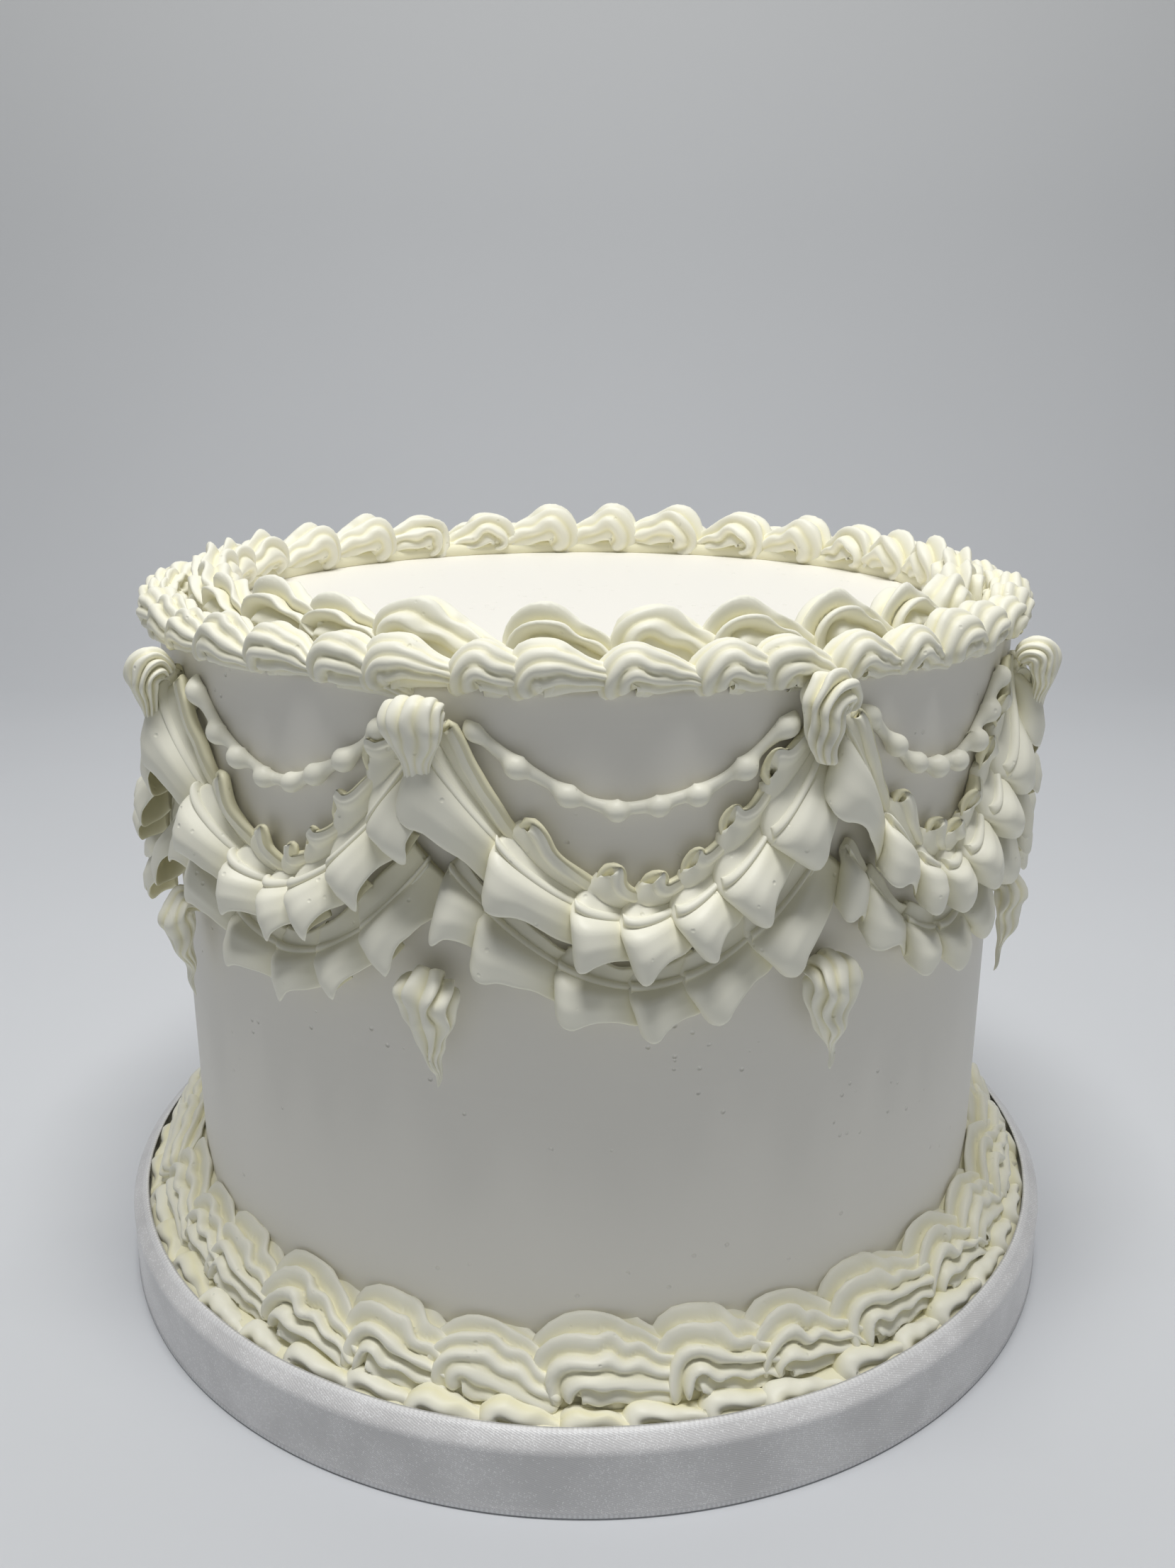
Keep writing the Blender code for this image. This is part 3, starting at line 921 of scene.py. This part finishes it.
UPPER = Ruffle(
    folds=(0.0, 0.18, 0.35, 0.49, 0.61, 0.735, 0.865, 1.0),
    height=127.8, sag=26.0, flap=4.5, flap_peak=4.6, frill=5.6, frill_tip=2.9,
    hollow=(1.9, 1.8, 1.5, 1.2, 0.5, 0.5, 1.7),
    swing=(5.7, 6.0, 5.2, 2.6, 1.0, 1.3, 1.9),
    thin=(0.28, 0.42, 0.7, 0.8, 0.85, 1.15, 1.35),
    clear=(0.9, 0.9), rope=1.35, flap_lean=26.0, seed=61,
)
LOWER = Ruffle(
    folds=(0.0, 0.10, 0.29, 0.48, 0.65, 0.82, 1.0),
    height=108.5, sag=18.5, flap=3.4, flap_peak=0.6, frill=5.2, frill_tip=2.8,
    hollow=(1.6, 1.4, 1.2, 1.1, 1.0, 1.0, 1.0),
    swing=(5.0, 5.0, 3.9, 1.0, 0.6, 0.4, 0.3),
    thin=(0.3, 0.4, 0.6, 0.7, 0.6, 0.6, 0.6),
    clear=(2.8, 1.2), rope=1.1, flap_lean=0.0, seed=87,
)


def fold_plan(places):
    """(along, out, drop, rise) on the smooth curve through a fold's points, at places in 0..1."""
    count = len(FOLD)
    spots = np.array(FOLD)
    before = spots[-1:] - (1.0, 0.0, 0.0, 0.0)
    after = spots[:2] + (1.0, 0.0, 0.0, 0.0)
    spots = np.vstack([before, spots, after])
    place = np.asarray(places) * count
    first = place.astype(int).clip(0, count - 1)
    part = (place - first)[:, None]
    a, b, c, d = (spots[first + shift] for shift in range(4))
    curve = b + 0.5 * part * (
        c - a + part * (2 * a - 5 * b + 4 * c - d + part * (3 * (b - c) + d - a))
    )
    curve[:, 1] = curve[:, 1].clip(0.0)
    return curve.T


def swag_line(shares, ends, look):
    """(arc length, height) of a swag's ridge, with the wall rolled out flat."""
    degrees = ends[0] + (ends[1] - ends[0]) * shares
    return np.radians(degrees) * WALL, look.height - look.sag * sagging(shares)


def on_wall(flat):
    """Points of (arc length, out, height), with the wall rolled out flat, put round the cake."""
    return around(WALL + flat[..., 1], np.degrees(flat[..., 0] / WALL), flat[..., 2])


def sheet_reach(look, levels, shares, strength, drop, rise, slope):
    """How far each row of a sheet reaches from its ridge."""
    peak = look.flap_peak * rise * strength * between(PEAKS_AT_LEFT, 1.0, shares, 0.04, 0.16)
    flap = (look.flap + peak) * between(FLAP_AT_LEFT, 1.0, shares, 0.15, 0.42)
    flap = flap * between(1.0, FLAP_AT_RIGHT, shares, *RIGHT_END)
    flap = flap[:, None] * between(1.0, 1.0 + FLAP_GAIN_CLIMBING, slope, 10.0, 48.0)
    frill = look.frill + look.frill_tip * drop * strength
    gain = between(FRILL_GAIN_LEFT, 0.0, shares, -0.05, 0.25)
    gain = gain + between(0.0, FRILL_GAIN_RIGHT, shares, 0.8, 1.0)
    frill = frill * (1.0 + gain)
    return levels * np.where(levels > 0.0, flap, frill[:, None])


def sheet_lean(look, levels, slope):
    """How far each row of a sheet leans from upright, in degrees, towards the swag's right."""
    flap = look.flap_lean - np.where(slope < 0.0, FLAP_LEAN_FALLING, FLAP_LEAN_CLIMBING) * slope
    return np.where(levels > 0.0, flap, FRILL_LEAN - FRILL_LEAN_SLOPING * slope)


def ruffle_sheet(look, ends, spans, strengths, seed):
    """(points, faces, painted warm shade) of a ruffle's sheet, which the nozzle laid in leaning
    folds.
    """
    count = len(spans) - 1
    number = np.append(np.repeat(np.arange(count), STEPS_PER_FOLD), count - 1)
    within = np.append(np.tile(np.arange(STEPS_PER_FOLD) / STEPS_PER_FOLD, count), 0.95)
    along, bulge, drop, rise = fold_plan(within)
    width = np.diff(spans)[number]
    shares = spans[number] + width * along
    strength = strengths[number] * (1.0 - within) + strengths[number + 1] * within
    strength = strength * between(1.0, FOLDS_AT_RIGHT, shares, *RIGHT_END)

    levels = np.concatenate([np.linspace(*run) for run in LEVEL_RUNS])
    line_x, line_z = swag_line(shares, ends, look)
    ahead_x, ahead_z = swag_line(shares + 0.01, ends, look)
    slope = np.degrees(np.arctan2(ahead_z - line_z, ahead_x - line_x))[:, None]
    reach = sheet_reach(look, levels, shares, strength, drop, rise, slope)
    lean = np.radians(sheet_lean(look, levels, slope))
    span = np.radians(ends[1] - ends[0]) * WALL
    opened = OPENING * (within + OPENING_SHIFT - along) * width * span
    x = line_x[:, None] + reach * np.sin(lean) + opened[:, None] * ease(levels, 0.2, 0.9)
    z = line_z[:, None] + reach * np.cos(lean)
    hollow = np.interp(levels, STATIONS, look.hollow)
    swing = np.interp(levels, STATIONS, look.swing)
    sheet = np.stack([x, hollow + swing * (bulge * strength)[:, None], z], axis=-1)
    sheet[..., 1] += STRAY * wander(sheet, 9.0, seed + 3) * ease(np.abs(levels), 0.1, 0.9)
    sheet[..., 2] += STRAY * wander(sheet, 5.0, seed + 5) * ease(np.abs(levels), 0.6, 1.0)

    normal = np.cross(np.gradient(sheet, axis=1), np.gradient(sheet, axis=0))
    normal /= np.maximum(np.linalg.norm(normal, axis=-1, keepdims=True), 1e-6)
    edge = rounded_end((1.0 - np.abs(levels)) / EDGE_ROUNDING)
    steps = np.arange(len(shares))
    end = rounded_end(np.minimum(steps, steps[::-1]) / END_ROUNDING)
    half = (np.interp(levels, STATIONS, look.thin) * edge)[None, :] * end[:, None]
    face = sheet + normal * half[..., None]
    rear = sheet - normal * half[..., None]
    loop = np.concatenate([face, rear[:, ::-1]], axis=1)
    loop[..., 1] = np.maximum(loop[..., 1], LEAST_OUT)
    points, faces = tube(on_wall(loop))
    # Painted warm shade, in the tuck where a fold's bulge is least and all over the sheet's back
    front = (1.0 - bulge)[:, None] * np.full(len(levels), TUCK_PAINTED_SHADE)
    painted_shade = np.concatenate([front, np.full_like(front, BACK_PAINTED_SHADE)], axis=1)
    return points, faces, np.append(painted_shade.ravel(), [TUCK_PAINTED_SHADE, TUCK_PAINTED_SHADE])


# Points along a rope across one fold, and round it
ROPE_STEPS = 26
ROPE_SIDES = 24

# The stretch of a fold that its rope crosses
ROPE_RUN = (0.17, 0.98)

# The groove along a rope's front: its depth, as a share of the rope's radius, and half its width
# in radians
ROPE_GROOVE = 0.45
ROPE_GROOVE_HALF = 0.36


def rope_strand(look, ends, start, finish, strength):
    """(points, faces, painted warm shade) of the grooved rope that runs across one fold, from its
    bulge to under the next one's, and sinks as it goes."""
    share = np.linspace(0.0, 1.0, ROPE_STEPS)
    along, bulge, _, _ = fold_plan(np.linspace(*ROPE_RUN, ROPE_STEPS))
    shares = start + (finish - start) * along
    x, z = swag_line(shares, ends, look)
    out = look.hollow[ROPE_STATION] + look.swing[ROPE_STATION] * strength * bulge
    out = out + look.rope * (0.75 - 0.45 * share)
    z = z + look.rope * (0.3 - 0.6 * share)
    thick = look.rope * rounded_end(share * 7.0, 0.08) * between(1.0, 0.8, share, 0.5, 1.0)
    turn = np.linspace(0.0, math.tau, ROPE_SIDES, endpoint=False)
    notch = ROPE_GROOVE * np.exp(-((np.minimum(turn, math.tau - turn) / ROPE_GROOVE_HALF) ** 2))
    size = thick[:, None] * (1.0 - notch * ease(share, 0.02, 0.2)[:, None])
    flat = np.stack(
        [
            np.broadcast_to(x[:, None], size.shape),
            out[:, None] + size * np.cos(turn) * 0.9,
            z[:, None] + size * np.sin(turn) * 1.15,
        ],
        axis=-1,
    )
    points, faces = tube(on_wall(flat), flip=True)
    # Painted warm shade along the groove on the rope's front
    grooves = np.append(np.broadcast_to(notch * 1.5, size.shape).ravel(), [0.0, 0.0])
    return points, faces, grooves


def joined(parts):
    """Several (points, faces, painted warm shade) as one."""
    points, faces, grooves, count = [], [], [], 0
    for some_points, some_faces, some_grooves in parts:
        points.append(some_points)
        faces += [[corner + count for corner in face] for face in some_faces]
        grooves.append(some_grooves)
        count += len(some_points)
    return np.vstack(points), faces, np.concatenate(grooves)


def ruffles(material):
    """An upper and a lower ruffle in every swag: a folded sheet, with a rope across each fold."""
    for family, look in (("upper_ruffle", UPPER), ("lower_ruffle", LOWER)):
        for number, (left, right) in enumerate(zip(JOINS, JOINS[1:]), start=1):
            seed = look.seed + number
            draw = np.random.default_rng(seed)
            spans = np.array(look.folds)
            spans[1:-1] += draw.uniform(-0.014, 0.014, len(spans) - 2)
            strengths = draw.uniform(0.85, 1.12, len(spans))
            ends = (left + look.clear[0], right - look.clear[1])
            parts = [ruffle_sheet(look, ends, spans, strengths, seed)]
            for start, finish, strength in zip(spans, spans[1:], strengths):
                parts.append(rope_strand(look, ends, start, finish, strength))
            points, faces, grooves = joined(parts)
            node = f"{family}_{number}"
            mesh = mesh_from(f"piped_{node}", points, faces, material, grooves)
            piece_from(f"piped_{node}", mesh, node)


# Beaded strings

BEADS = 8
THREAD_RADIUS = 0.95
BEAD_RADIUS = 2.0
STRING_SAG = 13.3

# Points along a string, and round it, and how many of them round off its end
STRING_STEPS = 150
STRING_SIDES = 18
STRING_ROUNDING = 7.0

# Degrees that a string leaves free at each end, and the share of the rest that its outer bead does
STRING_END = 4.0
BEAD_END = 0.03


def piping_group():
    """Geometry Nodes that pipe icing of each point's own radius along a curve."""
    group = bpy.data.node_groups.new("pipe_along", "GeometryNodeTree")
    sockets = group.interface
    sockets.new_socket("Geometry", in_out="INPUT", socket_type="NodeSocketGeometry")
    sockets.new_socket("Sides", in_out="INPUT", socket_type="NodeSocketInt")
    sockets.new_socket("Icing", in_out="INPUT", socket_type="NodeSocketMaterial")
    sockets.new_socket("Geometry", in_out="OUTPUT", socket_type="NodeSocketGeometry")
    tree = Tree(group)
    given = tree.add("NodeGroupInput").outputs
    nozzle = tree.add(
        "GeometryNodeCurvePrimitiveCircle", {"Resolution": given["Sides"], "Radius": 1.0}
    ).outputs[0]
    thick = tree.add("GeometryNodeInputRadius").outputs[0]
    piped = tree.add(
        "GeometryNodeCurveToMesh",
        {"Curve": given["Geometry"], "Profile Curve": nozzle, "Scale": thick, "Fill Caps": True},
    ).outputs[0]
    smooth = tree.add(
        "GeometryNodeSetShadeSmooth", {"Geometry": piped, "Shade Smooth": True}
    ).outputs[0]
    iced = tree.add(
        "GeometryNodeSetMaterial", {"Geometry": smooth, "Material": given["Icing"]}
    ).outputs[0]
    tree.add("NodeGroupOutput", {"Geometry": iced})
    return group


def bead_string(number, left, right, material, group):
    """A piped thread between two joins, let sag and swelled into beads as it was laid."""
    draw = np.random.default_rng(700 + number)
    share = np.linspace(0.0, 1.0, STRING_STEPS)
    turn = right - left - 2 * STRING_END
    beads = (np.arange(BEADS) + draw.uniform(-0.14, 0.14, BEADS)) / (BEADS - 1)
    beads = BEAD_END + beads * (1.0 - 2 * BEAD_END)
    gap = (share[:, None] - beads[None, :]) * math.radians(turn) * WALL
    wide = draw.uniform(1.2, 1.6, BEADS)[None, :]
    swell = (np.exp(-((gap / wide) ** 2)) * draw.uniform(0.8, 1.1, BEADS)[None, :]).max(axis=1)
    radius = THREAD_RADIUS + (BEAD_RADIUS - THREAD_RADIUS) * swell
    radius += 0.07 * np.sin(share * 60.0 + number)
    steps = np.arange(STRING_STEPS)
    radius *= rounded_end(np.minimum(steps, steps[::-1]) / STRING_ROUNDING, 0.03)
    degrees = left + STRING_END + turn * share
    height = JOIN_HEIGHT - STRING_SAG * sagging(share)
    height += 0.25 * np.sin(share * 17.0 + number * 2.0) - 0.25 * swell
    places = around(WALL + 0.85 * radius + 0.1, degrees, height)
    curve = bpy.data.curves.new("string", "CURVE")
    curve.dimensions = "3D"
    spline = curve.splines.new("POLY")
    spline.points.add(STRING_STEPS - 1)
    for point, place, size in zip(spline.points, places, radius):
        point.co = (*(place * MM), 1.0)
        point.radius = size * MM
    holder = new_object("string_path", curve)
    mesh = run_nodes(holder, group, {"Sides": STRING_SIDES, "Icing": material})
    mesh.name = f"piped_bead_string_{number}"
    piece_from(mesh.name, mesh, f"bead_string_{number}")


# Cake, board and ribbon

# Points round a turned solid, whose outline starts and ends that close to its axis
LATHE_STEPS = 360
NEAR_AXIS = 1.0

# How far the scraped coat's side strays, over what reach, and what share of that change shows
# upwards
COAT_WAVE = 0.12
COAT_WAVE_REACH = 42.0
COAT_WAVE_UPRIGHT = 0.35

# The radius of the coat's top edge
COAT_EDGE_ROUND = 1.6

# The radius of the board's lower and of its upper edge
BOARD_LOW_ROUND = 0.8
BOARD_HIGH_ROUND = 2.2


def turned(radii, heights):
    """Rings of points round the axis, at those radii and heights."""
    degrees = np.arange(LATHE_STEPS) * 360.0 / LATHE_STEPS
    return np.stack([around(r, degrees, z) for r, z in zip(radii, heights)])


def iced_cake(material):
    """The smooth coat: an upright side, a softly rounded edge and a level top. Its side is a
    little uneven, as a scraper leaves it."""
    foot = box_mm("iced_cake")[0][2]
    side = np.linspace(foot, CAKE_TOP - COAT_EDGE_ROUND, 60)
    bend = np.radians(np.linspace(0.0, 90.0, 8))[1:]
    across = np.linspace(WALL - COAT_EDGE_ROUND, NEAR_AXIS, 40)[1:]
    radii = np.concatenate(
        [
            np.full(len(side), WALL),
            WALL - COAT_EDGE_ROUND * (1.0 - np.cos(bend)),
            across,
        ]
    )
    heights = np.concatenate(
        [
            side,
            CAKE_TOP - COAT_EDGE_ROUND * (1.0 - np.sin(bend)),
            np.full(len(across), CAKE_TOP),
        ]
    )
    rings = turned(radii, heights)
    shift = COAT_WAVE * wander(rings * (1.0, 1.0, COAT_WAVE_UPRIGHT), COAT_WAVE_REACH, 4)
    out = rings[..., :2] / radii[:, None, None]
    on_side = radii[:, None] > WALL - 4.0
    rings[..., :2] += out * (shift * on_side)[..., None]
    points, faces = tube(rings)
    mesh = mesh_from("smooth_coat", points, faces, material)
    piece_from("smooth_coat", mesh, "iced_cake")


def drum_board(material):
    """The drum, whose foil turns over its edges."""
    turn = np.radians(np.linspace(0.0, 90.0, 7))
    radii = np.concatenate(
        [
            [NEAR_AXIS, BOARD_RADIUS - BOARD_LOW_ROUND],
            BOARD_RADIUS - BOARD_LOW_ROUND * (1.0 - np.sin(turn[1:])),
            BOARD_RADIUS - BOARD_HIGH_ROUND * (1.0 - np.cos(turn)),
            [NEAR_AXIS],
        ]
    )
    heights = np.concatenate(
        [
            [0.0, 0.0],
            BOARD_LOW_ROUND * (1.0 - np.cos(turn[1:])),
            BOARD_TOP - BOARD_HIGH_ROUND * (1.0 - np.sin(turn)),
            [BOARD_TOP],
        ]
    )
    points, faces = tube(turned(radii, heights))
    mesh = mesh_from("foil_drum", points, faces, material)
    piece_from("foil_drum", mesh, "drum_board")


# How thick the ribbon's cloth is, how tall the part of it that leans in is, and how far the cords
# along its edges stand out and reach in
CLOTH_THICK = 0.4
LEANING = 2.5
CORD_OUT = 0.2
CORD_WIDE = 0.35

# Degrees by which the ribbon's end laps over its start
RIBBON_LAP = 4.5


def satin_ribbon(material):
    """A ribbon wound once round the drum, whose end laps over its start at the back. Its upper
    edge leans in over the drum's rounded edge, and a corded selvedge runs along both edges."""
    bend_height = RIBBON_TOP - LEANING
    degrees = np.linspace(180.0, 540.0 + RIBBON_LAP, 720)
    rise = np.concatenate([np.linspace(0.4, bend_height - 0.8, 14), [bend_height]])
    lean = np.linspace(0.0, LEANING, 6)[1:]
    heights = np.concatenate([rise, bend_height + lean])
    radii = np.concatenate([np.zeros(len(rise)), -lean * (0.65 + 0.5 * lean / LEANING)])
    steps = np.hypot(np.diff(radii), np.diff(heights))
    travelled = np.concatenate([[0.0], np.cumsum(steps)])
    from_edge = np.minimum(travelled, travelled[-1] - travelled)
    cord = CORD_OUT * np.exp(-((from_edge / CORD_WIDE) ** 2))
    lapped = ease(degrees, 540.0, 541.5) * (CLOTH_THICK + 0.08) - CLOTH_THICK * 0.25
    wave = 0.12 * np.sin(np.radians(degrees) * 9.0) + 0.08 * np.sin(np.radians(degrees) * 23.0)
    level = heights + 0.6 * wave[:, None] * ease(heights, 4.0, RIBBON_TOP)
    cloth = RIBBON_RADIUS + radii - CORD_OUT + lapped[:, None]
    outer = around(cloth + cord, degrees[:, None], level)
    inner = around(cloth - cord - CLOTH_THICK * 0.6, degrees[:, None], level)
    rings = np.concatenate([outer, inner[:, ::-1]], axis=1)
    points, faces = tube(rings)
    mesh = mesh_from("satin_ribbon_wound", points, faces, material)
    length = np.radians(degrees)[:, None] * RIBBON_RADIUS
    across = np.append(travelled, travelled[::-1])
    strip = np.stack(np.broadcast_arrays(length, across), axis=-1)
    weave = np.vstack([strip.reshape(-1, 2), strip[0, 0], strip[-1, 0]])
    corners = np.empty(len(mesh.loops), np.int32)
    mesh.loops.foreach_get("vertex_index", corners)
    mesh.uv_layers.new(name="weave").data.foreach_set("uv", weave[corners].ravel())
    piece_from("satin_ribbon_wound", mesh, "satin_ribbon")


# Studio


def studio(material):
    """A pale sweep of paper: level under the cake, and curved up behind it."""
    near, far, radius, top, side = -1500.0, 520.0, 300.0, 1500.0, 1600.0
    bend = np.radians(np.linspace(0.0, 90.0, 24))
    y = np.concatenate([[near], far + radius * np.sin(bend), [far + radius]])
    z = np.concatenate([[0.0], radius - radius * np.cos(bend), [top]])
    x = np.array([-side, side])
    points = np.stack(np.broadcast_arrays(x[None, :], y[:, None], z[:, None]), axis=-1)
    faces = grid_faces(len(y), 2, closed=False)
    mesh = mesh_from("paper_sweep", points.reshape(-1, 3), faces, material)
    new_object("paper_sweep", mesh)


def area_light(name, place, target, size, power):
    """A soft, white, rectangular light that faces a target. Its power is in watts."""
    light = bpy.data.lights.new(name, "AREA")
    light.shape = "RECTANGLE"
    light.size, light.size_y = (side * MM for side in size)
    light.energy = power
    thing = new_object(name, light)
    away = np.array(place) - np.array(target)
    thing.location = np.array(place) * MM
    thing.rotation_euler = direction_euler(away)


def direction_euler(away):
    """The turn that points an object's -Z axis against that direction, and its Y axis up."""
    flat = math.hypot(away[0], away[1])
    return (math.atan2(flat, away[2]), 0.0, math.atan2(away[0], -away[1]))


def lighting():
    """A broad strip overhead, a weak one behind it, and an even pale surround."""
    area_light(
        "overhead", place=(-10.0, -180.0, 1100.0), target=(0.0, 0.0, 90.0), size=(560.0, 240.0),
        power=8.2,
    )
    area_light(
        "behind", place=(0.0, 330.0, 800.0), target=(0.0, 100.0, 100.0), size=(900.0, 300.0),
        power=1.0,
    )
    world = bpy.data.worlds.new("pale_room")
    world.use_nodes = True
    background = world.node_tree.nodes["Background"]
    background.inputs["Color"].default_value = linear("D8DADC")
    background.inputs["Strength"].default_value = 0.25
    bpy.context.scene.world = world
    bpy.context.scene.view_settings.view_transform = "Standard"


def camera():
    """The photo's own view."""
    data = bpy.data.cameras.new("camera")
    data.lens = CAMERA_LENS
    data.sensor_width = 36.0
    thing = new_object("camera", data)
    thing.location = np.array(CAMERA_PLACE) * MM
    thing.rotation_euler = (math.radians(90.0 - CAMERA_TILT), 0.0, 0.0)
    bpy.context.scene.camera = thing


def main():
    """Builds every piece with its finish, and the studio round them."""
    camera()
    lighting()
    studio(studio_paper())
    icing = piped_buttercream()
    iced_cake(smooth_buttercream())
    drum_board(board_foil())
    satin_ribbon(white_satin())
    planting = planting_group()
    borders(icing, planting)
    hanging_shells(icing, planting)
    ruffles(icing)
    piping = piping_group()
    for number, (left, right) in enumerate(zip(JOINS, JOINS[1:]), start=1):
        bead_string(number, left, right, icing, piping)


main()
